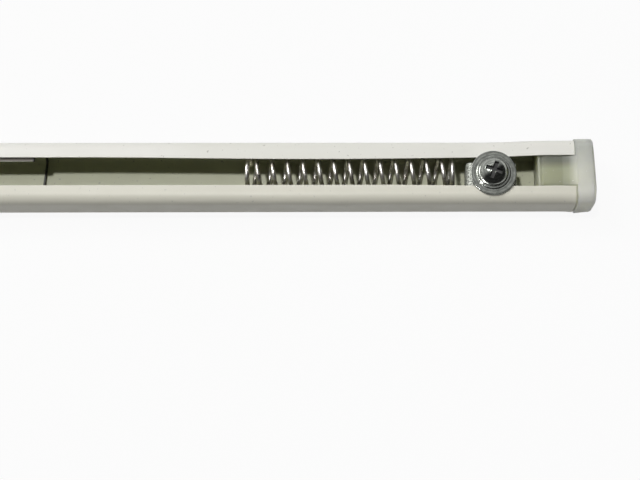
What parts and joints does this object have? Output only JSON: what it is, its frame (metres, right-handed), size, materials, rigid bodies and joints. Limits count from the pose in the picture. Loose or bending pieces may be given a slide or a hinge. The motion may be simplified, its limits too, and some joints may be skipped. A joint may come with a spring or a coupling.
{
  "type": "telescopic curtain rod",
  "caption": "Flat-oval telescopic curtain rod in white slotted steel channel, with end caps, an internal pressure spring and a clamped stop.",
  "frame": {"origin": "middle of the whole rod in X, middle of its channels in Y, under the sleeve's end cap in Z; the rod lies on its smooth front face. The sleeve's end cap sits 0.3 mm over to +Y, as pictured.", "axes": "+X along the rod towards the sleeve's end cap, +Z out of the slotted back, +Y to the side"},
  "size_m": [0.483, 0.0216, 0.0188],
  "materials": {
    "white_paint": "off-white baked enamel, satin",
    "white_plastic": "moulded, grey-white",
    "spring_steel": "bright drawn wire",
    "zinc_plate": "bright zinc plated",
    "pressed_steel": "dull galvanised"
  },
  "bodies": {
    "sleeve": {"sleeve_channel": "white_paint", "sleeve_end_cap": "white_plastic"},
    "inner": {"inner_channel": "white_paint", "inner_end_cap": "white_plastic"},
    "stop": {"stop_plate": "pressed_steel", "wide_washer": "zinc_plate", "small_washer": "zinc_plate", "lock_washer": "zinc_plate"},
    "screw": {"clamp_screw": "zinc_plate"},
    "spring": {"pressure_spring": "spring_steel"}
  },
  "joints": [
    {"name": "inner_slide", "type": "slide", "parent": "sleeve", "child": "inner", "axis": [-1, 0, 0], "range_m": [-0.0625, 0.135]},
    {"name": "stop_slide", "type": "slide", "parent": "sleeve", "child": "stop", "axis": [-1, 0, 0], "range_m": [-0.005, 0.058]},
    {"name": "screw_turn", "type": "hinge", "parent": "stop", "child": "screw", "pos_m": [0.20905, -0.0009, 0.01595], "axis": [0, 0, 1], "range_deg": [0, 180]},
    {"name": "spring_squeeze", "type": "slide", "parent": "stop", "child": "spring", "axis": [1, 0, 0], "range_m": [0, 0.03], "stiffness_N_per_m": 3000, "deforming": ["pressure_spring"]}
  ]
}
